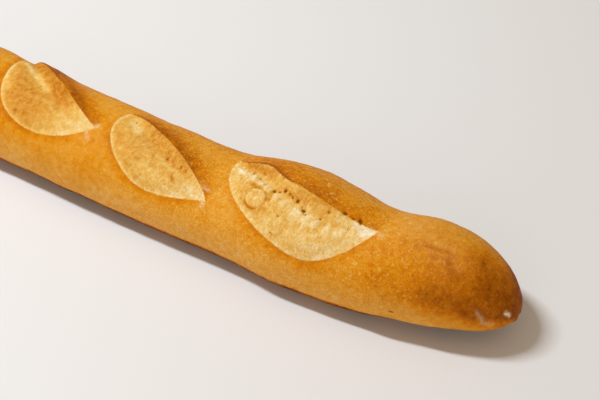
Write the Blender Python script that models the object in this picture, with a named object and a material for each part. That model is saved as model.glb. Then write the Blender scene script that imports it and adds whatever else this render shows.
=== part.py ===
"""A baguette, built as one solid loaf whose five cuts have opened in the oven.

The loaf lies along X on the plane Z = 0, and its cuts show from above and from -Y.
Its skin is one closed surface, worked out from two places: x, along the loaf, and turn,
the angle round it from its crest (0) to its front (+90 degrees, towards -Y).
The skin is laid out as a flat sheet of triangles, finer in the cuts, then wrapped and closed.
"""

import math

import bmesh
import bpy
import numpy as np
from mathutils import Vector
from mathutils.geometry import delaunay_2d_cdt

MM = 0.001

# The whole loaf. Distances in the tables run from its +X tip, and everything is in millimetres.
LENGTH = 570
END_LENGTH = 56  # each rounded end, along X
END_POWER = 1.87  # 2 would be an ellipse; more is blunter
HALF_WIDTH = [(0, 31.4), (50, 29.5), (75, 29.4), (100, 32.4), (125, 34.9), (150, 31.8), (175, 29.8), (225, 29.6),
              (310, 29.7), (345, 31), (400, 30), (500, 29), (570, 25)]
RISE = [(0, 28), (75, 27.5), (100, 29.2), (125, 29.9), (150, 28.1), (175, 24.8), (200, 25.7), (265, 27),
        (310, 26.3), (345, 28.3), (400, 26.8), (500, 26), (570, 22)]
DROP = [(0, 13), (40, 18), (70, 20.5), (100, 21.5), (480, 21.5), (530, 20.5), (570, 14)]
SWAY = [(0, -5.2), (25, -4.9), (50, -6.5), (75, -10.2), (100, -8.5), (125, -6.6), (180, -7.8), (225, -6.5),
        (310, -1.4), (345, 0.5), (450, 1), (570, -4)]
HEIGHT = [(0, 16.9), (30, 20.7), (60, 22.1), (90, 19.6), (160, 19.5), (220, 20.4), (310, 21.3), (480, 20),
          (530, 21), (570, 16)]
CREST_POWER = 2.15  # the shape of the section above its middle
BASE_POWER = 2.7  # and below it, where it is squarer
ROUND = 27  # one radius for the whole loaf, which turns an angle into a width on the skin

# The cuts, from the +X end. "x" is the middle of a cut and "turn" its angle from the crest.
# Each opens towards the front, from the crust's lifted edge ("back") to its lower edge ("front").
CUTS = [
    {"x": 163, "turn": -8.5, "tilt": 8.7, "length": 90.4, "front": 33.6, "back": -5.5, "hook": 6.2, "crown": 0.22,
     "blunt": 0.37, "tail": 0.73, "lift": 3.3, "reach": 26, "swell": 1.2, "seam": 0.27},
    {"x": 80.2, "turn": 13.5, "tilt": 26.6, "length": 74.2, "front": 23.7, "back": 6, "hook": 0.5, "crown": -0.12,
     "blunt": 0.39, "tail": 1.34, "lift": 3, "reach": 16, "swell": 1.0, "seam": 0.24},
    {"x": 1.1, "turn": -27, "tilt": 30.2, "length": 82.5, "front": 38.4, "back": -3.7, "hook": 0, "crown": -0.05,
     "blunt": 1, "tail": 0.67, "lift": 3.5, "reach": 16, "swell": 1.0, "seam": 0.26},
    {"x": -80, "turn": -8, "tilt": 25, "length": 78, "front": 31, "back": 1.5, "hook": 2, "crown": 0,
     "blunt": 0.45, "tail": 0.9, "lift": 3.5, "reach": 17, "swell": 1.1, "seam": 0.26},
    {"x": -163, "turn": 2, "tilt": 22, "length": 80, "front": 27, "back": 4, "hook": 1, "crown": -0.1,
     "blunt": 0.4, "tail": 1.0, "lift": 3.8, "reach": 18, "swell": 1.1, "seam": 0.28},
]
BACK_FADE, EAR_FADE, CRUMB_FADE, CREASE_FADE = 0.5, 0.8, 0.5, 0.35  # towards a cut's ends; less is blunter
HOOK_AT, HOOK_SHARE = -0.62, 0.26  # where the lifted edge swings back, and how far along
DIP = 1.2  # depth of the seam inside a cut
SEAM_SHARE = 0.12  # its half width, as a share of the crumb's width
CRUMB_SHARE = 0.45  # how far from the seam the crumb is at its full height, as such a share
CREASE = 0.7  # depth of the crease along a cut's front edge
ROLL = 2.5  # how far inside that crease the crumb reaches its full height
VALLEY = 6  # how far outside it the crust comes back up

# The sheet of triangles.
CELL = 6
FINE_CELL = 2.7  # in and near the cuts
INNER_LINES = 6  # between the seam and the front edge
CROWDING = 1.4  # more than 1 brings them closer to that edge
RINGS = (2.5, 6)  # distances of the finer rings round a cut
APART = 0.6  # the least distance between two corners, as a share of the cell
MERGE = 0.02


def smooth_curve(points):
    """A curve through (place, value) pairs that never swings past them, level beyond both ends."""
    place, value = np.array(points, float).T
    gap, slope = np.diff(place), np.diff(value) / np.diff(place)
    turning = slope[:-1] * slope[1:] <= 0
    total = np.where(turning, 1, slope[:-1] + slope[1:])
    steep = np.r_[0, np.where(turning, 0, 2 * slope[:-1] * slope[1:] / total), 0]

    def at(t):
        t = np.clip(t, place[0], place[-1])
        i = np.clip(np.searchsorted(place, t) - 1, 0, len(gap) - 1)
        s = (t - place[i]) / gap[i]
        rising, ease = s * s * (3 - 2 * s), s * (1 - s) * gap[i]
        ends = steep[i] * (1 - s) - steep[i + 1] * s
        return value[i] + (value[i + 1] - value[i]) * rising + ease * ends

    return at


half_width, rise, drop, sway, height = [smooth_curve(table) for table in (HALF_WIDTH, RISE, DROP, SWAY, HEIGHT)]


def smooth(t):
    """0 up to t = 0, 1 from t = 1, and level at both."""
    t = np.clip(t, 0, 1)
    return t * t * (3 - 2 * t)


def body(x, turn):
    """The loaf's skin before the cuts, as points in millimetres."""
    from_tip = LENGTH / 2 - x
    end = np.clip((np.abs(x) - (LENGTH / 2 - END_LENGTH)) / END_LENGTH, 0, 1)
    narrowing = np.maximum((1 - end**END_POWER) ** (1 / END_POWER), 1e-6)
    above = np.cos(turn) > 0
    power = np.where(above, CREST_POWER, BASE_POWER)
    wide = half_width(from_tip) * narrowing
    tall = np.where(above, rise(from_tip), drop(from_tip)) * narrowing
    reach = ((np.abs(np.sin(turn)) / wide) ** power + (np.abs(np.cos(turn)) / tall) ** power) ** (-1 / power)
    return np.stack([x, sway(from_tip) - reach * np.sin(turn), height(from_tip) + reach * np.cos(turn)], -1)


def outward(x, turn):
    """Unit normals of that skin."""
    step = 0.05
    along = body(x + step, turn) - body(x - step, turn)
    round_ = body(x, turn + step / ROUND) - body(x, turn - step / ROUND)
    normal = np.cross(round_, along)
    return normal / np.maximum(np.linalg.norm(normal, axis=-1, keepdims=True), 1e-12)


def in_cut(cut, places):
    """Places on the sheet in a cut's own frame: their share of its half length, and how far across."""
    tilt = math.radians(cut["tilt"])
    dx, dw = places[:, 0] - cut["x"], places[:, 1] - math.radians(cut["turn"]) * ROUND
    along = dx * math.cos(tilt) + dw * math.sin(tilt)
    return along / (cut["length"] / 2), dw * math.cos(tilt) - dx * math.sin(tilt)


def on_sheet(cut, share, across):
    """The places on the sheet at shares of a cut's half length and distances across it."""
    tilt = math.radians(cut["tilt"])
    along = share * cut["length"] / 2
    x = cut["x"] + along * math.cos(tilt) - across * math.sin(tilt)
    width = math.radians(cut["turn"]) * ROUND + along * math.sin(tilt) + across * math.cos(tilt)
    return np.stack([x, width], -1)


def edges(cut, share):
    """How far across a cut its back edge and its front edge are."""
    crown = cut["crown"]
    from_crown = np.where(share < crown, (share - crown) / (1 + crown), (share - crown) / (1 - crown))
    open_ = np.clip(1 - from_crown**2, 0, 1)
    front = cut["front"] * open_ ** np.where(share < crown, cut["blunt"], cut["tail"])
    back = cut["back"] + cut["hook"] * np.exp(-(((share - HOOK_AT) / HOOK_SHARE) ** 2))
    return -back * np.clip(1 - share**2, 0, 1) ** BACK_FADE, front


def distance_to(line, places):
    """How far each place is from a line of places."""
    nearest = np.full(len(places), np.inf)
    for start, end in zip(line[:-1], line[1:]):
        step = end - start
        share = np.clip((places - start) @ step / max(step @ step, 1e-12), 0, 1)
        nearest = np.minimum(nearest, np.hypot(*(places - start - share[:, None] * step).T))
    return nearest


def line_along(cut, part, count=60):
    """A line of places along a cut, from its back edge (part 0) to its front edge (part 1)."""
    share = -np.cos(np.linspace(0, math.pi, count))
    back, front = edges(cut, share)
    return on_sheet(cut, share, back + (front - back) * part)


def relief(places):
    """How far the cuts raise or lower the skin at places on the sheet."""
    total = np.zeros(len(places))
    for cut in CUTS:
        share, across = in_cut(cut, places)
        back, front = edges(cut, share)
        from_back = distance_to(line_along(cut, 0), places)
        from_front = distance_to(line_along(cut, 1), places)
        fade = np.clip(1 - share**2, 0, 1)
        ear, crease = cut["lift"] * fade**EAR_FADE, CREASE * fade**CREASE_FADE
        rolled = fade**CRUMB_FADE * smooth(from_front / ROLL)
        part = (across - back) / np.maximum(front - back, 0.001)
        past_seam = (part - cut["seam"]) / (1 - cut["seam"])
        face = ear * (1 - smooth(part / cut["seam"]))
        crumb = cut["swell"] * smooth(past_seam / CRUMB_SHARE)
        crumb -= DIP * np.exp(-((past_seam / SEAM_SHARE) ** 2))
        inside = face + crumb * rolled - crease * (1 - smooth(from_front / ROLL))
        outside = np.where(part < 0.5, ear * (1 - smooth(from_back / cut["reach"])), 0)
        outside -= crease * (1 - smooth(from_front / VALLEY))
        total += np.where(np.abs(share) < 1, np.where((part > 0) & (part < 1), inside, outside), 0)
    return total


def from_cuts(places):
    """How far each place is from the nearest cut, 0 inside one."""
    nearest = np.full(len(places), np.inf)
    for cut in CUTS:
        share, across = in_cut(cut, places)
        back, front = edges(cut, share)
        away = np.minimum(distance_to(line_along(cut, 0), places), distance_to(line_along(cut, 1), places))
        away[(np.abs(share) < 1) & (across > back) & (across < front)] = 0
        nearest = np.minimum(nearest, away)
    return nearest


def ring_around(cut, distance, count):
    """A line of places at a distance all round a cut."""
    outline = np.concatenate([line_along(cut, 0, count)[::-1], line_along(cut, 1, count)[1:-1]])
    step = np.roll(outline, -1, 0) - np.roll(outline, 1, 0)
    away = np.stack([-step[:, 1], step[:, 0]], -1) / np.maximum(np.hypot(*step.T), MERGE)[:, None]
    rings = [outline + side * away * distance for side in (-1, 1)]
    ring = max(rings, key=lambda places: np.ptp(places[:, 0]))
    return ring[from_cuts(ring) > 0.8 * distance]


def apart(places, others, distance):
    """The places that keep a distance from all the others and from those before them."""
    kept = []
    for place in places:
        if np.hypot(*(others - place).T).min() > distance:
            if not kept or np.hypot(*(np.array(kept) - place).T).min() > distance:
                kept.append(place)
    return np.array(kept).reshape(-1, 2)


def sheet_mesh():
    """Places and triangles of the flat sheet: the way along the loaf's skin, and the way round it."""
    long_half, wide_half = LENGTH / 2 + END_LENGTH * (math.pi / 2 - 1), math.pi * ROUND
    columns, rows = round(2 * long_half / CELL), round(2 * wide_half / CELL)
    column, row = np.meshgrid(np.arange(columns + 1), np.arange(rows + 1), indexing="ij")
    grid = np.stack([long_half * (2 * column / columns - 1), wide_half * (2 * row / rows - 1)], -1)
    border = (column % columns == 0) | (row % rows == 0)
    places, lines = grid[border], []
    for cut in CUTS:
        count = round(cut["length"] / FINE_CELL)
        for part in (0, 1, cut["seam"]):
            fresh = apart(line_along(cut, part, count), places, FINE_CELL * APART)
            lines += [(len(places) + i, len(places) + i + 1) for i in range(len(fresh) - 1)]
            places = np.concatenate([places, fresh])
        toward_front = 1 - (1 - np.arange(1, INNER_LINES + 1) / (INNER_LINES + 1)) ** CROWDING
        inner = [cut["seam"] / 2] + list(cut["seam"] + (1 - cut["seam"]) * toward_front)
        for line in [line_along(cut, part, count) for part in inner]:
            places = np.concatenate([places, apart(line, places, FINE_CELL * APART)])
        for distance in RINGS:
            fresh = apart(ring_around(cut, distance, count), places, FINE_CELL * APART)
            places = np.concatenate([places, fresh])
    places = np.concatenate([places, apart(grid[~border], places, CELL * APART)])
    made = delaunay_2d_cdt([Vector(place) for place in places], lines, [], 0, MERGE)
    return np.array([tuple(place) for place in made[0]]), made[2]


def wrap(places):
    """The loaf's skin at places on the sheet, flat where it rests and centred on its own box."""
    straight = LENGTH / 2 - END_LENGTH
    over = np.clip((np.abs(places[:, 0]) - straight) / END_LENGTH, 0, math.pi / 2)
    x = np.sign(places[:, 0]) * (np.minimum(np.abs(places[:, 0]), straight) + END_LENGTH * np.sin(over))
    turn = places[:, 1] / ROUND
    points = body(x, turn) + outward(x, turn) * relief(places)[:, None]
    points[:, 2] = np.maximum(points[:, 2], 0)
    points[:, 1] -= (points[:, 1].min() + points[:, 1].max()) / 2
    return points


def crust_material():
    """Golden crust, a little glossy."""
    made = bpy.data.materials.new("crust")
    made.use_nodes = True
    shader = made.node_tree.nodes["Principled BSDF"]
    shader.inputs["Base Color"].default_value = (0.62, 0.29, 0.055, 1)
    shader.inputs["Roughness"].default_value = 0.5
    shader.inputs["Metallic"].default_value = 0
    return made


def make_loaf():
    places, triangles = sheet_mesh()
    skin = bmesh.new()
    verts = [skin.verts.new(point * MM) for point in wrap(places)]
    for triangle in triangles:
        skin.faces.new([verts[i] for i in triangle])
    bmesh.ops.remove_doubles(skin, verts=skin.verts, dist=MERGE * MM)
    bmesh.ops.recalc_face_normals(skin, faces=skin.faces)
    mesh = bpy.data.meshes.new("loaf")
    skin.to_mesh(mesh)
    skin.free()
    mesh.shade_smooth()
    mesh.materials.append(crust_material())
    loaf = bpy.data.objects.new("loaf", mesh)
    bpy.context.scene.collection.objects.link(loaf)


def main():
    for thing in list(bpy.data.objects):
        bpy.data.objects.remove(thing)
    make_loaf()


main()
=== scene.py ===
"""The looks of the baguette: a fine skin over the CAD loaf, its baked materials, light and camera."""

import math

import bmesh
import bpy
import numpy as np
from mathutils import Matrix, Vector, noise


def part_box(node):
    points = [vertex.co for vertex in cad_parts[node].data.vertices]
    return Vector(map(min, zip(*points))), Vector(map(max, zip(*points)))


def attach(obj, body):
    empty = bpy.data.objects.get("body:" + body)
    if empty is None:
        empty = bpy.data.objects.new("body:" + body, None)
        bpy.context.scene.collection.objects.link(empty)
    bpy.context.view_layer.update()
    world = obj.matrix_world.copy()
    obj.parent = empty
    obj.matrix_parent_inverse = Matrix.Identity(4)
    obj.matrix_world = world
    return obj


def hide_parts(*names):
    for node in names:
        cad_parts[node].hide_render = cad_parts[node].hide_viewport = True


MM = 0.001

# The loaf's form, as in its CAD source, in millimetres. Tables run from the +X tip.
LENGTH = 570
END_LENGTH = 56
END_POWER = 1.87
HALF_WIDTH = [(0, 31.4), (50, 29.5), (75, 29.4), (100, 32.4), (125, 34.9), (150, 31.8), (175, 29.8), (225, 29.6),
              (310, 29.7), (345, 31), (400, 30), (500, 29), (570, 25)]
RISE = [(0, 28), (75, 27.5), (100, 29.2), (125, 29.9), (150, 28.1), (175, 24.8), (200, 25.7), (265, 27),
        (310, 26.3), (345, 28.3), (400, 26.8), (500, 26), (570, 22)]
DROP = [(0, 13), (40, 18), (70, 20.5), (100, 21.5), (480, 21.5), (530, 20.5), (570, 14)]
SWAY = [(0, -5.2), (25, -4.9), (50, -6.5), (75, -10.2), (100, -8.5), (125, -6.6), (180, -7.8), (225, -6.5),
        (310, -1.4), (345, 0.5), (450, 1), (570, -4)]
HEIGHT = [(0, 16.9), (30, 20.7), (60, 22.1), (90, 19.6), (160, 19.5), (220, 20.4), (310, 21.3), (480, 20),
          (530, 21), (570, 16)]
CREST_POWER = 2.15
BASE_POWER = 2.7
ROUND = 27
CUTS = [
    {"x": 163, "turn": -8.5, "tilt": 8.7, "length": 90.4, "front": 33.6, "back": -5.5, "hook": 6.2, "crown": 0.22,
     "blunt": 0.37, "tail": 0.73, "lift": 3.3, "reach": 26, "swell": 1.2, "seam": 0.27, "rise": 0.8,
     "dip": 0.8, "scorch_and_shade": 1, "ribs": 1, "lipped": -0.35, "tone": 0.48, "face_tone": 0.57, "end_tone": 0.34, "rim_highlight_tone": 0.3},
    {"x": 80.2, "turn": 13.5, "tilt": 26.6, "length": 74.2, "front": 23.7, "back": 6, "hook": 0.5, "crown": -0.12,
     "blunt": 0.39, "tail": 1.34, "lift": 3, "reach": 16, "swell": 1.0, "seam": 0.24, "rise": 0.8,
     "dip": 0.25, "scorch_and_shade": 1.35, "ribs": 0.3, "lipped": -0.5, "tone": 0.66, "face_tone": 0.76, "end_tone": 0.34, "rim_highlight_tone": 0.36},
    {"x": 1.1, "turn": -27, "tilt": 30.2, "length": 82.5, "front": 38.4, "back": -3.7, "hook": 0, "crown": -0.05,
     "blunt": 1, "tail": 0.67, "lift": 3.5, "reach": 16, "swell": 1.0, "seam": 0.26, "rise": 0.5,
     "dip": 0.4, "scorch_and_shade": 1.7, "ribs": 0.3, "lipped": -0.2, "tone": 0.74, "face_tone": 0.9, "end_tone": 0.32, "rim_highlight_tone": 0.42},
    {"x": -80, "turn": -8, "tilt": 25, "length": 78, "front": 31, "back": 1.5, "hook": 2, "crown": 0,
     "blunt": 0.45, "tail": 0.9, "lift": 3.5, "reach": 17, "swell": 1.1, "seam": 0.26, "rise": 0.8,
     "dip": 0.6, "scorch_and_shade": 1, "ribs": 0.6, "lipped": -0.2, "tone": 0.5, "face_tone": 0.66, "end_tone": 0.34, "rim_highlight_tone": 0.4},
    {"x": -163, "turn": 2, "tilt": 22, "length": 80, "front": 27, "back": 4, "hook": 1, "crown": -0.1,
     "blunt": 0.4, "tail": 1.0, "lift": 3.8, "reach": 18, "swell": 1.1, "seam": 0.28, "rise": 0.8,
     "dip": 0.5, "scorch_and_shade": 1, "ribs": 0.5, "lipped": 0, "tone": 0.56, "face_tone": 0.7, "end_tone": 0.36, "rim_highlight_tone": 0.4},
]
BACK_FADE, EAR_FADE, CRUMB_FADE, CREASE_FADE = 0.5, 0.8, 0.5, 0.35
HOOK_AT, HOOK_SHARE = -0.62, 0.26
SEAM_SHARE = 0.12
CRUMB_SHARE = 0.45
CREASE = 0.35
ROLL = 9
VALLEY = 6

# The fine skin.
CELL = 2.5
UNDERSIDE_TURN = 125  # degrees from the crest, below which the faces stay large

# The looks. Tones run from 0, pale, to 1, dark; marks are lines of (x, turn in degrees) on the skin.
# The last, near-black stop is reached only low on the underside, where it is partly painted shade.
CRUST_STOPS = [(0, (236, 184, 108)), (0.2, (229, 165, 66)), (0.38, (222, 149, 42)), (0.5, (218, 137, 9)),
               (0.62, (205, 118, 3)), (0.73, (186, 104, 1)), (0.84, (159, 83, 1)), (0.93, (136, 65, 0)),
               (1, (66, 26, 1))]
CRUMB_STOPS = [(0, (247, 228, 194)), (0.25, (240, 206, 140)), (0.5, (228, 178, 88)), (0.75, (213, 148, 56)),
               (1, (188, 110, 20))]
# Of these, the colour for pits and pores is painted shade: the dark inside them.
PALE_CRUST, DOUGH_AND_SHEEN, PIT_SHADE_COLOUR, SINGED = (240, 187, 92), (244, 224, 182), (100, 50, 4), (152, 74, 8)
BLISTER = 0.65
QUIET, SPECKLED_AT, SPECKLED_HALF = 0.45, 148, 52
BAKED, CREST_BAKED, FLANK_BAKED, BACK_BAKED, UNDERSIDE_BAKED_AND_SHADE = 0.36, 0.04, -0.18, 0.16, 0.75
# Below this height, in mm, the crust is darkened: partly a browned base, partly painted shade where the loaf
# meets the floor.
BROWN_AND_SHADE_HEIGHT = 10.2
MOST_BAKED = 0.8
# The ear ridges behind the cuts are darker: partly browning, partly painted shade on the slope falling away
# behind each ear.
RIDGE_BAKED_AND_SHADE, HALO_BAKED_AND_SHADE = 0.36, 0.24
# The bands just outside the cuts' front edges are darker: partly browning, partly painted shade in the groove
# there.
HALO, RIM_HIGHLIGHT = 3.8, 1.5
LIP, LIP_WIDTH, LIP_FADE = 0.3, 1.3, 0.5
SINGED_WIDTH = 0.75
RIB_SPACING, RIB_LIFT, RIB_PALE = 2.6, 0.5, 0.3
BUBBLE, BUBBLE_SIZE = (140, 27), 5.7
BUBBLE_LIFT, BUBBLE_GROOVE, BUBBLE_RING, BUBBLE_TONE = 0.35, 0.25, 0.4, 0.46
TAIL_MARKS = [
    ([(203, 10), (211, 12)], 1.3, {"pale": 0.3}),
    ([(212, 12), (222, 18), (234, 27), (246, 24), (257, 12)], 3, {"baked": -0.05}),
    ([(109, 34), (113, 35)], 0.9, {"pale": 0.5}),
    ([(112, 49), (113, 53)], 1.0, {"pale": 0.8}),
    ([(32, 25), (37, 15)], 1.1, {"pale": 0.6}),
    ([(33, 28), (36, 35)], 0.9, {"pale": 0.45}),
]
TIP_MARKS = [
    ([(286, 30)], 37, {"baked": 0.42}),
    ([(270, 62), (279, 60)], 9, {"baked": 0.06}),
    ([(252, 42), (268, 44)], 12, {"baked": 0.2}),
    ([(244, 76), (264, 70)], 8, {"baked": 0.18}),
    # A painted sheen: a faint pale patch on the upper tip, where light glances off the crust.
    ([(222, -8), (244, 8)], 11, {"baked": 0.02, "pale": 0.07}),
    ([(216, 22), (232, 26)], 8, {"baked": 0.14}),
    ([(262, -10)], 12, {"baked": 0.12}),
    ([(218, 58), (240, 60)], 12, {"baked": 0.19}),
    ([(255, -40), (266, -36)], 10, {"baked": -0.2}),
    ([(268, 65), (270, 72), (272, 82), (275, 83)], 1.3, {"pale": 0.36, "lift": 0.3}),
    ([(277, 52), (279, 48)], 3, {"baked": 0.1}),
    ([(280, 55), (281.5, 60)], 1.1, {"pale": 1.6, "lift": 0.4}),
    ([(284, 100)], 2.0, {"baked": 0.2, "lift": 0.9}),
    # Two small holes, painted dark as the shade inside them.
    ([(226, 94), (227, 96)], 0.9, {"hole_shade": 1}),
    ([(258, 102)], 0.9, {"hole_shade": 1}),
    ([(233, 12), (239, 12), (244, 10)], 1.3, {"baked": 0.22, "lift": -0.15}),
    ([(240, 22)], 1.4, {"baked": 0.2}),
    ([(246, 20), (249, 28), (252, 35)], 2.4, {"baked": 0.16}),
    ([(-286, 0)], 37, {"baked": 0.42}),
    ([(-262, 35), (-250, 20)], 12, {"baked": 0.14}),
    ([(-262, -50)], 12, {"baked": 0.12}),
    # Painted shade: a broad, faint darkening of the front flank around the middle of the loaf, standing in for
    # light falling off there.
    ([(-30, 60), (35, 62)], 22, {"baked": 0.07}),
    ([(185, 78), (205, 75)], 11, {"baked": 0.1}),
]
CRUMB_MARKS = [
    ([(197, 14), (203, 11)], 3, {"crumb": -0.3}),
    ([(104, 44), (111, 49)], 4, {"crumb": -0.1}),
    ([(74, 42), (92, 52)], 6, {"crumb": -0.16}),
    ([(123, -3), (131, 4), (138, 11), (144, 15)], 2.0, {"crumb": -0.12}),
    ([(133, 22), (136, 34)], 4, {"crumb": 0.12}),
    ([(135, 14), (139, 15)], 1.8, {"crumb": 0.4}),
    ([(145, 16), (147, 24)], 1.8, {"crumb": 0.35}),
    ([(137, 36), (142, 39), (147, 36)], 2, {"crumb": 0.3}),
    ([(157, 8), (163, 10)], 2.6, {"crumb": 0.1}),
    ([(125, -15), (131, -12), (137, -9), (143, -7)], 2.6, {"crumb": 0.3}),
    ([(165, 12), (181, 14)], 2.2, {"crumb": 0.12}),
    ([(172, 48), (186, 50)], 5, {"crumb": -0.1}),
    ([(168, 6), (178, 4)], 4, {"crumb": 0.15}),
    ([(53, -14), (58, -4)], 4, {"crumb": -0.3}),
    ([(91, 36), (92.5, 40)], 1.2, {"crumb": 0.3}),
    ([(-29, -35), (-15, -17), (-4, -3)], 2.4, {"crumb": -0.4, "lift": 0.3}),
    ([(-36, -22), (-33, -5), (-26, 15)], 3, {"crumb": -0.2}),
    ([(-22, 10), (-8, 18)], 9, {"crumb": 0.08}),
]
# Pores along the seams: each sinks the skin a little and is painted dark, as the shade inside it.
SEAM_MARKS = [([place], size, {"hole_shade": deep, "lift": -0.9 * deep}) for place, size, deep in (
    ((130.4, -5), 0.9, 0.7), ((136, 1), 0.9, 0.7), ((138.5, 5), 0.7, 0.6), ((140.7, 8), 0.8, 0.7),
    ((147, 12), 1.2, 1), ((150, 11), 0.9, 0.9), ((153, 9), 1.1, 1), ((155.5, 11), 0.7, 0.7),
    ((158, 13), 1.0, 0.8), ((161.6, 15), 1.3, 0.9), ((165, 19), 0.7, 0.6), ((167, 22), 1.3, 1.1),
    ((169, 26), 0.8, 0.7), ((177, 22), 0.8, 0.7), ((180.4, 14), 0.9, 0.8), ((188.1, 7), 1.3, 1.1),
    ((193, 8), 0.9, 0.8), ((196.8, 6), 1.4, 1.1), ((197.5, 10), 0.8, 0.6), ((149.3, -9), 0.8, 0.7),
    ((156.2, 37), 0.8, 0.6), ((155.2, 53), 0.8, 0.6), ((183, 32), 0.7, 0.5),
    ((54.8, -13), 0.8, 0.8), ((57, -11), 0.7, 0.6), ((83.5, 18), 1.2, 0.7), ((93, 22), 0.7, 0.6),
    ((97, 25), 0.7, 0.6), ((101, 28), 0.7, 0.6), ((-13, 38), 0.9, 0.5))]
MARKS = TAIL_MARKS + TIP_MARKS + CRUMB_MARKS + SEAM_MARKS

# The camera, from the loaf's box.
CAMERA_TURN, CAMERA_RISE = 27.33, 46
CAMERA_AWAY = 0.7564
CAMERA_LENS = 85
AIM_ALONG, AIM_UP = 0.1554, 0.0332
AIM_ACROSS = 0.00499

# The lights, away from the camera's aim, in metres.
WINDOW_AWAY, WINDOW_SIZE, WINDOW_WATTS = (-0.74, -0.09, 1.15), (0.08, 0.45), 16.6
WINDOW_COLOUR = (0.81, 0.905, 1)
FRONT_AWAY, FRONT_SIZE, FRONT_WATTS = (0.2, -1.1, 0.45), (1.2, 0.7), 2.8
FRONT_COLOUR = (1, 0.87, 0.76)
ROOM_LIGHT, ROOM_COLOUR = 0.37, (1, 0.845, 0.655, 1)


def smooth_curve(points):
    """A curve through (place, value) pairs that never swings past them, level beyond both ends."""
    place, value = np.array(points, float).T
    gap, slope = np.diff(place), np.diff(value) / np.diff(place)
    turning = slope[:-1] * slope[1:] <= 0
    total = np.where(turning, 1, slope[:-1] + slope[1:])
    steep = np.r_[0, np.where(turning, 0, 2 * slope[:-1] * slope[1:] / total), 0]

    def at(t):
        t = np.clip(t, place[0], place[-1])
        i = np.clip(np.searchsorted(place, t) - 1, 0, len(gap) - 1)
        s = (t - place[i]) / gap[i]
        rising, ease = s * s * (3 - 2 * s), s * (1 - s) * gap[i]
        ends = steep[i] * (1 - s) - steep[i + 1] * s
        return value[i] + (value[i + 1] - value[i]) * rising + ease * ends

    return at


half_width, rise, drop, sway, height = [smooth_curve(table) for table in (HALF_WIDTH, RISE, DROP, SWAY, HEIGHT)]


def smooth(t):
    """0 up to t = 0, 1 from t = 1, and level at both."""
    t = np.clip(t, 0, 1)
    return t * t * (3 - 2 * t)


def body(x, turn):
    """The loaf's skin before the cuts, as points in millimetres."""
    from_tip = LENGTH / 2 - x
    end = np.clip((np.abs(x) - (LENGTH / 2 - END_LENGTH)) / END_LENGTH, 0, 1)
    narrowing = np.maximum((1 - end**END_POWER) ** (1 / END_POWER), 1e-6)
    above = np.cos(turn) > 0
    power = np.where(above, CREST_POWER, BASE_POWER)
    wide = half_width(from_tip) * narrowing
    tall = np.where(above, rise(from_tip), drop(from_tip)) * narrowing
    reach = ((np.abs(np.sin(turn)) / wide) ** power + (np.abs(np.cos(turn)) / tall) ** power) ** (-1 / power)
    return np.stack([x, sway(from_tip) - reach * np.sin(turn), height(from_tip) + reach * np.cos(turn)], -1)


def outward(x, turn):
    """Unit normals of that skin."""
    step = 0.05
    along = body(x + step, turn) - body(x - step, turn)
    round_ = body(x, turn + step / ROUND) - body(x, turn - step / ROUND)
    normal = np.cross(round_, along)
    return normal / np.maximum(np.linalg.norm(normal, axis=-1, keepdims=True), 1e-12)


def in_cut(cut, places):
    """Places on the sheet in a cut's own frame: their share of its half length, and how far across."""
    tilt = math.radians(cut["tilt"])
    dx, dw = places[:, 0] - cut["x"], places[:, 1] - math.radians(cut["turn"]) * ROUND
    along = dx * math.cos(tilt) + dw * math.sin(tilt)
    return along / (cut["length"] / 2), dw * math.cos(tilt) - dx * math.sin(tilt)


def on_sheet(cut, share, across):
    """The places on the sheet at shares of a cut's half length and distances across it."""
    tilt = math.radians(cut["tilt"])
    along = share * cut["length"] / 2
    x = cut["x"] + along * math.cos(tilt) - across * math.sin(tilt)
    width = math.radians(cut["turn"]) * ROUND + along * math.sin(tilt) + across * math.cos(tilt)
    return np.stack([x, width], -1)


def edges(cut, share):
    """How far across a cut its back edge and its front edge are."""
    crown = cut["crown"]
    from_crown = np.where(share < crown, (share - crown) / (1 + crown), (share - crown) / (1 - crown))
    open_ = np.clip(1 - from_crown**2, 0, 1)
    front = cut["front"] * open_ ** np.where(share < crown, cut["blunt"], cut["tail"])
    back = cut["back"] + cut["hook"] * np.exp(-(((share - HOOK_AT) / HOOK_SHARE) ** 2))
    return -back * np.clip(1 - share**2, 0, 1) ** BACK_FADE, front


def distance_to(line, places):
    """How far each place is from a line of places."""
    nearest = np.full(len(places), np.inf)
    for start, end in zip(line[:-1], line[1:]):
        step = end - start
        share = np.clip((places - start) @ step / max(step @ step, 1e-12), 0, 1)
        nearest = np.minimum(nearest, np.hypot(*(places - start - share[:, None] * step).T))
    return nearest


def line_along(cut, part, count=60):
    """A line of places along a cut, from its back edge (part 0) to its front edge (part 1)."""
    share = -np.cos(np.linspace(0, math.pi, count))
    back, front = edges(cut, share)
    return on_sheet(cut, share, back + (front - back) * part)


def near_cuts(places, margin):
    """For each cut, the places in it or within a margin of it."""
    for cut in CUTS:
        share, across = in_cut(cut, places)
        reach = margin / (cut["length"] / 2)
        back, front = edges(cut, np.clip(share, -0.98, 0.98))
        near = (np.abs(share) < 1 + reach) & (across > back - margin) & (across < front + margin)
        yield cut, np.flatnonzero(near)


def ribbing(along):
    """Uneven ribs, 0 to 1, along a cut."""
    values = np.array([noise.noise(Vector((place / RIB_SPACING, 0.37, 1.91))) for place in along])
    return smooth(0.5 + 1.2 * values)


def hump(t):
    """1 at t = 0, falling away smoothly on both sides."""
    return np.exp(-(t**2))


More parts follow.
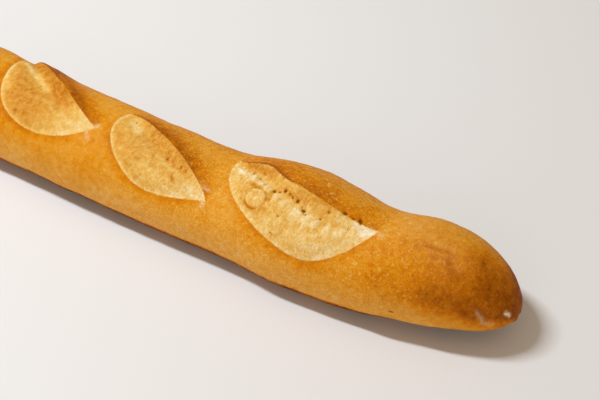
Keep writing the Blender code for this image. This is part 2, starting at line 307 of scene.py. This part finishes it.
def relief_and_looks(places):
    """How far the cuts raise or lower the skin at places on the sheet, and what the material reads there."""
    count = len(places)
    total = np.zeros(count)
    looks = {name: np.zeros(count) for name in ("baked", "crumb", "singed", "along", "across")}
    looks["inside"], looks["speckled"] = np.full(count, -20.0), np.ones(count)
    for cut, near in near_cuts(places, 40):
        here = places[near]
        share, across = in_cut(cut, here)
        back, front = edges(cut, share)
        from_back = distance_to(line_along(cut, 0), here)
        from_front = distance_to(line_along(cut, 1), here)
        beside = np.abs(share) < 1
        fade = np.clip(1 - share**2, 0, 1)
        ear = cut["lift"] * fade ** np.where(share < 0, cut["rise"], EAR_FADE)
        crease = CREASE * fade**CREASE_FADE
        rolled = fade**CRUMB_FADE * smooth(from_front / ROLL)
        part = (across - back) / np.maximum(front - back, 0.001)
        past_seam = (part - cut["seam"]) / (1 - cut["seam"])
        within = beside & (part > 0) & (part < 1)
        face = ear * (1 - smooth(part / cut["seam"]))
        crumb = cut["swell"] * smooth(past_seam / CRUMB_SHARE)
        crumb -= cut["dip"] * hump(past_seam / SEAM_SHARE)
        ribs = cut["ribs"] * ribbing(share * cut["length"] / 2) * hump((past_seam - 0.14) / 0.13)
        crumb += RIB_LIFT * ribs
        inside = face + crumb * rolled - crease * (1 - smooth(from_front / ROLL))
        behind = (part < 0.5) & beside & ~within
        outside = np.where(behind, ear * (1 - smooth(from_back / cut["reach"])), 0)
        outside -= crease * (1 - smooth(from_front / VALLEY))
        lip = LIP * hump(from_back / LIP_WIDTH) * (1 - smooth((share - cut["lipped"]) / LIP_FADE))
        outside += np.where(behind, lip, 0)
        total[near] += np.where(beside, np.where(within, inside, outside), 0)

        edge = np.minimum(from_back, from_front) * np.where(within, 1, -1)
        closest = edge > looks["inside"][near]
        looks["inside"][near] = np.where(closest, edge, looks["inside"][near])
        # Ear ridge darkened: partly browning, partly painted shade on the slope falling away behind the ear.
        ridge = np.where(behind, fade**0.5 * (1 - smooth(from_back / cut["reach"]) ** 0.6), 0)
        # Band outside the front edge darkened: partly browning, partly painted shade in the groove there.
        halo = np.where(within, 0, hump(from_front / HALO) * fade**0.3)
        looks["baked"][near] += RIDGE_BAKED_AND_SHADE * cut["scorch_and_shade"] * ridge + HALO_BAKED_AND_SHADE * halo
        looks["speckled"][near] *= 1 - 0.7 * halo
        ribs_tone = -RIB_PALE * ribs
        to_face = 1 - smooth((part / cut["seam"] - 0.6) / 0.8)
        tone = cut["tone"] + (cut["face_tone"] - cut["tone"]) * to_face
        tone += (cut["end_tone"] - tone) * smooth((share - 0.25) / 0.7)
        # Paler crumb along the front edge: a painted highlight on the raised rim.
        tone += (cut["rim_highlight_tone"] - tone) * hump(from_front / RIM_HIGHLIGHT) + ribs_tone
        looks["crumb"][near] = np.where(closest, tone, looks["crumb"][near])
        singed = hump(from_back / SINGED_WIDTH) * (1 - smooth((share - cut["lipped"]) / LIP_FADE))
        looks["singed"][near] += np.where(beside & (part < 0.5), singed * fade**0.3, 0)
        looks["along"][near] = np.where(closest, share * cut["length"] / 2, looks["along"][near])
        looks["across"][near] = np.where(closest, across, looks["across"][near])
    return total, looks


def flat_sheet():
    """A flat sheet of faces, finer above the underside and finest in the cuts."""
    long_half, wide_half = LENGTH / 2 + END_LENGTH * (math.pi / 2 - 1), math.pi * ROUND
    sheet = bmesh.new()
    columns, rows = round(2 * long_half / CELL), round(2 * wide_half / CELL)
    bmesh.ops.create_grid(sheet, x_segments=columns, y_segments=rows, size=0.5)
    for vert in sheet.verts:
        vert.co.x *= 2 * long_half
        vert.co.y *= 2 * wide_half

    def refine(chosen):
        picked = [face for face, take in zip(sheet.faces, chosen) if take]
        lines = list({edge for face in picked for edge in face.edges})
        bmesh.ops.subdivide_edges(sheet, edges=lines, cuts=1, use_grid_fill=True)

    def centres():
        return np.array([face.calc_center_median()[:2] for face in sheet.faces])

    refine(np.abs(centres()[:, 1]) < math.radians(UNDERSIDE_TURN) * ROUND)
    middle = centres()
    inner = np.zeros(len(middle), bool)
    for _, near in near_cuts(middle, 2.5):
        inner[near] = True
    refine(inner)
    return sheet


def body_noise(points, size, depth):
    """Smooth noise of about -1 to 1 over the points, in millimetres."""
    return np.array([noise.fractal(Vector(point) / size, 1.0, 2.0, depth) for point in points])


def far_from(line, points):
    """How far points are from a line of (x, turn) places on the bare skin."""
    x, turn = np.array(line, float).T
    corners = body(x, np.radians(turn))
    nearest = np.linalg.norm(points - corners[0], axis=1)
    for start, end in zip(corners[:-1], corners[1:]):
        step = end - start
        share = np.clip((points - start) @ step / (step @ step), 0, 1)
        nearest = np.minimum(nearest, np.linalg.norm(points - start - share[:, None] * step, axis=1))
    return nearest


def crust_tone(turn):
    """How far the crust is baked at a turn, before the cuts and the marks."""
    lower = np.degrees(np.abs(turn))
    baked = BAKED + CREST_BAKED * (1 - smooth((lower - 10) / 40))
    baked += FLANK_BAKED * smooth((lower - 65) / 25)
    baked += BACK_BAKED * smooth((-np.degrees(turn) - 20) / 40)
    return baked


def wrap(places):
    """The loaf's fine skin and what its material reads."""
    straight = LENGTH / 2 - END_LENGTH
    over = np.clip((np.abs(places[:, 0]) - straight) / END_LENGTH, 0, math.pi / 2)
    x = np.sign(places[:, 0]) * (np.minimum(np.abs(places[:, 0]), straight) + END_LENGTH * np.sin(over))
    turn = places[:, 1] / ROUND
    bare = body(x, turn)
    raised, looks = relief_and_looks(places)
    looks["baked"] += crust_tone(turn)
    looks["pale"], looks["hole_shade"] = np.zeros(len(places)), np.zeros(len(places))
    looks["speckled"] *= 1 - (1 - QUIET) * smooth((np.abs(x - SPECKLED_AT) - SPECKLED_HALF) / 60)
    for line, size, effects in MARKS:
        amount = hump(far_from(line, bare) / size)
        raised += effects.get("lift", 0) * amount
        for name in ("baked", "crumb", "pale", "hole_shade"):
            looks[name] += effects.get(name, 0) * amount
    looks["baked"] = np.minimum(looks["baked"], MOST_BAKED)
    # Darker low on the loaf: partly the browned base, partly painted shade along the underside where it meets the
    # floor.
    looks["baked"] += UNDERSIDE_BAKED_AND_SHADE * (1 - smooth((bare[:, 2] - BROWN_AND_SHADE_HEIGHT) / 2.5))
    from_bubble = far_from([BUBBLE], bare)
    raised += BUBBLE_LIFT * (1 - smooth((from_bubble - BUBBLE_SIZE + 1) / 1.5))
    raised -= BUBBLE_GROOVE * hump((from_bubble - BUBBLE_SIZE - 0.3) / 0.7)
    broken = 0.55 + 0.6 * body_noise(bare, 3.2, 1)
    looks["crumb"] += BUBBLE_RING * broken * hump((from_bubble - BUBBLE_SIZE - 0.2) / 0.55)
    looks["crumb"] += (BUBBLE_TONE - looks["crumb"]) * (1 - smooth((from_bubble - BUBBLE_SIZE + 1) / 0.8))
    crumbly = smooth(looks["inside"] / 1.5)
    raised += 0.35 * body_noise(bare, 18, 2) + 0.14 * body_noise(bare, 4.5, 2)
    raised += 0.16 * crumbly * body_noise(bare, 1.9, 2)
    points = bare + outward(x, turn) * raised[:, None]
    points[:, 2] = np.maximum(points[:, 2], 0)
    low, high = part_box("loaf")
    points[:, 1] += (low.y + high.y) / 2 / MM - (points[:, 1].min() + points[:, 1].max()) / 2
    return points, looks


class Nodes:
    """Builds one material's nodes."""

    def __init__(self, name):
        self.material = bpy.data.materials.new(name)
        self.material.use_nodes = True
        self.tree = self.material.node_tree
        self.shader = self.tree.nodes["Principled BSDF"]
        self.place = self.add("TexCoord", output="Object")

    def add(self, kind, inputs=(), output=0, **settings):
        made = self.tree.nodes.new("ShaderNode" + kind)
        for name, value in settings.items():
            setattr(made, name, value)
        for socket, value in dict(inputs).items():
            self.put(made.inputs[socket], value)
        return made.outputs[output]

    def put(self, socket, value):
        if isinstance(value, bpy.types.NodeSocket):
            self.tree.links.new(value, socket)
        else:
            socket.default_value = value

    def attribute(self, name):
        return self.add("Attribute", output="Fac", attribute_name=name)

    def noise(self, size, detail=3, rough=0.6, vector=None):
        values = {"Scale": 1 / size, "Detail": detail, "Roughness": rough, "Vector": vector or self.place}
        return self.add("TexNoise", values)

    def stretched(self, vector, scale):
        """A vector scaled by its three shares."""
        return self.add("VectorMath", {0: vector, 1: scale}, operation="MULTIPLY")

    def dots(self, size, radius, vector=None):
        """Soft round dots, one in each cell of a random pattern."""
        far = self.add("TexVoronoi", {"Scale": 1 / size, "Vector": vector or self.place}, output="Distance")
        return self.between(far, radius, radius * 0.4)

    def maths(self, operation, first, second=0.0, third=0.0):
        return self.add("Math", {0: first, 1: second, 2: third}, operation=operation)

    def swing(self, value, amount, onto=0.0):
        """onto, plus a 0 to 1 value swung about its middle by an amount."""
        return self.maths("MULTIPLY_ADD", self.maths("SUBTRACT", value, 0.5), amount, onto)

    def between(self, value, low, high):
        """value's way from low to high, as a smooth step from 0 to 1."""
        values = {"Value": value, "From Min": low, "From Max": high}
        return self.add("MapRange", values, interpolation_type="SMOOTHSTEP")

    def ramp(self, value, stops):
        made = self.tree.nodes.new("ShaderNodeValToRGB")
        line = made.color_ramp.elements
        for place, colour in stops[2:]:
            line.new(place)
        for element, (place, colour) in zip(line, stops):
            element.position = place
            element.color = srgb(colour)
        self.put(made.inputs[0], value)
        return made.outputs[0]

    def mix(self, share, first, second, blend="MIX"):
        made = self.tree.nodes.new("ShaderNodeMix")
        made.data_type, made.blend_type = "RGBA", blend
        self.put(made.inputs["Factor"], share)
        for socket, value in ((made.inputs[6], first), (made.inputs[7], second)):
            self.put(socket, srgb(value) if isinstance(value, tuple) else value)
        return made.outputs[2]


def srgb(colour):
    """An 8-bit screen colour as the linear one that shaders use."""
    share = np.array(colour) / 255
    linear = np.where(share <= 0.04045, share / 12.92, ((share + 0.055) / 1.055) ** 2.4)
    return (*linear, 1)


def bread_material():
    made = Nodes("baked_loaf")
    inside, singed = made.attribute("inside"), made.attribute("singed")
    pale, hole_shade = made.attribute("pale"), made.attribute("hole_shade")
    broad, mottle = made.noise(0.024, 2), made.noise(0.0036, 4, 0.62)
    grain, fine = made.noise(0.0014, 3, 0.7), made.noise(0.0008, 2)

    # The crust: how far it is baked, with pale blisters and short pale streaks.
    baked = made.swing(broad, 0.3, made.attribute("baked"))
    speckled = made.attribute("speckled")
    baked = made.swing(mottle, made.maths("MULTIPLY_ADD", baked, -0.55, 0.85), baked)
    baked = made.swing(grain, made.maths("MULTIPLY", speckled, 0.6), baked)
    crust = made.ramp(baked, CRUST_STOPS)
    blisters = made.between(made.noise(0.0015, 2, 0.5), 0.56, 0.7)
    streaks = made.between(made.noise(0.0013, 1, vector=made.stretched(made.place, (1.5, 0.4, 0.4))), 0.58, 0.72)
    light = made.maths("MAXIMUM", blisters, made.maths("MULTIPLY", streaks, 0.5))
    light = made.maths("MULTIPLY", light, made.between(baked, 1.0, 0.5))
    light = made.maths("MULTIPLY", light, speckled)
    crust = made.mix(made.maths("MULTIPLY", light, BLISTER), crust, PALE_CRUST)
    # Pale marks drawn towards a pale colour: dough specks and streaks, and on the upper tip a painted sheen.
    crust = made.mix(made.maths("MULTIPLY", pale, made.between(grain, 0.3, 0.6)), crust, DOUGH_AND_SHEEN)

    # The crumb in the cuts: fibres across each cut, golden specks, and small pits painted dark as the shade
    # inside them.
    frame_ = made.add("CombineXYZ", {0: made.attribute("along"), 1: made.attribute("across")})
    fibres = made.noise(1.0, 3, 0.65, made.stretched(frame_, (0.8, 0.32, 1)))
    tone = made.swing(fibres, made.maths("MULTIPLY", speckled, 0.7), made.attribute("crumb"))
    tone = made.swing(made.noise(0.0032, 3, 0.65), 0.75, tone)
    tone = made.swing(grain, made.maths("MULTIPLY", speckled, 0.8), tone)
    # Crumb darkened around pores and holes: painted shade inside them.
    tone = made.maths("MULTIPLY_ADD", hole_shade, 0.45, tone)
    crumb = made.ramp(tone, CRUMB_STOPS)
    pit_shade_dots = made.maths("MULTIPLY", made.dots(0.0034, 0.16), made.between(mottle, 0.5, 0.56))
    crumb = made.mix(made.maths("MULTIPLY", pit_shade_dots, made.maths("MULTIPLY", speckled, 0.6)), crumb, PIT_SHADE_COLOUR)

    ragged = made.swing(grain, 1.6, inside)
    edge = made.between(made.swing(mottle, 1.2, ragged), -0.35, 0.35)
    colour = made.mix(edge, crust, crumb)
    torn = made.between(made.swing(grain, 1.2, singed), 0.25, 0.7)
    colour = made.mix(made.maths("MULTIPLY", torn, 0.9), colour, SINGED)
    # Pores and holes painted dark: painted shade inside them.
    open_ = made.between(made.swing(fine, 0.8, made.swing(grain, 1.4, hole_shade)), 0.35, 0.75)
    colour = made.mix(made.maths("MULTIPLY", open_, 0.8), colour, PIT_SHADE_COLOUR)
    shade = made.swing(fine, made.maths("MULTIPLY", speckled, 0.8), 1.0)
    shade = made.swing(grain, made.maths("MULTIPLY", speckled, 0.35), shade)
    colour = made.add("VectorMath", {0: colour, "Scale": shade}, operation="SCALE")
    made.put(made.shader.inputs["Base Color"], colour)
    made.put(made.shader.inputs["Roughness"], made.maths("MULTIPLY_ADD", edge, 0.25, 0.5))
    height = made.maths("MULTIPLY_ADD", mottle, 0.5, made.maths("MULTIPLY", grain, 0.35))
    height = made.maths("MULTIPLY_ADD", light, 0.12, height)
    bump = made.add("Bump", {"Strength": 0.8, "Distance": 0.0008, "Height": height}, output="Normal")
    made.put(made.shader.inputs["Normal"], bump)
    made.shader.inputs["Specular IOR Level"].default_value = 0.05
    return made.material


def make_loaf():
    sheet = flat_sheet()
    points, looks = wrap(np.array([vert.co[:2] for vert in sheet.verts]))
    for name, values in looks.items():
        layer = sheet.verts.layers.float.new(name)
        for vert, value in zip(sheet.verts, values):
            vert[layer] = value
    for vert, point in zip(sheet.verts, points):
        vert.co = point * MM
    bmesh.ops.remove_doubles(sheet, verts=sheet.verts, dist=0.02 * MM)
    bmesh.ops.recalc_face_normals(sheet, faces=sheet.faces)
    bmesh.ops.triangulate(sheet, faces=[face for face in sheet.faces if len(face.verts) > 4])
    mesh = bpy.data.meshes.new("crust_and_crumb")
    sheet.to_mesh(mesh)
    sheet.free()
    mesh.shade_smooth()
    mesh.materials.append(bread_material())
    skin = bpy.data.objects.new("crust_and_crumb", mesh)
    bpy.context.scene.collection.objects.link(skin)
    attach(skin, "root")
    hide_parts("loaf")


def make_floor():
    bpy.ops.mesh.primitive_plane_add(size=6)
    floor = bpy.context.object
    floor.name = "floor"
    made = Nodes("pale_floor")
    made.shader.inputs["Base Color"].default_value = (0.80, 0.765, 0.735, 1)
    made.shader.inputs["Roughness"].default_value = 0.7
    floor.data.materials.append(made.material)


def make_soft_light(name, place, aim, width, length, watts, colour):
    """A rectangular light that faces the aim, its length in the upright plane through both."""
    light = bpy.data.lights.new(name, "AREA")
    light.shape, light.size, light.size_y = "RECTANGLE", width, length
    light.energy, light.color = watts, colour
    lamp = bpy.data.objects.new(name, light)
    lamp.location = place
    lamp.rotation_euler = (place - aim).to_track_quat("Z", "Y").to_euler()
    bpy.context.scene.collection.objects.link(lamp)


def make_light(aim):
    make_soft_light("window", aim + Vector(WINDOW_AWAY), aim, *WINDOW_SIZE, WINDOW_WATTS, WINDOW_COLOUR)
    make_soft_light("front", aim + Vector(FRONT_AWAY), aim, *FRONT_SIZE, FRONT_WATTS, FRONT_COLOUR)
    world = bpy.data.worlds.new("room")
    world.use_nodes = True
    world.node_tree.nodes["Background"].inputs["Color"].default_value = ROOM_COLOUR
    world.node_tree.nodes["Background"].inputs["Strength"].default_value = ROOM_LIGHT
    bpy.context.scene.world = world


def make_camera(aim):
    turn, rise = math.radians(CAMERA_TURN), math.radians(CAMERA_RISE)
    back = Vector((math.sin(turn) * math.cos(rise), -math.cos(turn) * math.cos(rise), math.sin(rise)))
    data = bpy.data.cameras.new("camera")
    data.lens, data.sensor_width, data.clip_start = CAMERA_LENS, 36, 0.01
    camera = bpy.data.objects.new("camera", data)
    camera.location = aim + back * CAMERA_AWAY
    camera.rotation_euler = back.to_track_quat("Z", "Y").to_euler()
    bpy.context.scene.collection.objects.link(camera)
    bpy.context.scene.camera = camera


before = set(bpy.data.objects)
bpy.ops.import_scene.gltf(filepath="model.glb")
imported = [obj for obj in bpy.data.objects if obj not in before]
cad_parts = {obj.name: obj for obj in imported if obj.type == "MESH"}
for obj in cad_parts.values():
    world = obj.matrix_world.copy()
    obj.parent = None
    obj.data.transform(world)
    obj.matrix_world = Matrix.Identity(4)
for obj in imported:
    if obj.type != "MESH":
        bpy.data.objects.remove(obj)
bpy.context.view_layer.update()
low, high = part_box("loaf")
aim = (low + high) / 2 + Vector((AIM_ALONG, AIM_ACROSS, 0))
aim.z = low.z + AIM_UP
make_loaf()
make_floor()
make_light(aim)
make_camera(aim)
bpy.context.scene.view_settings.view_transform = "Standard"
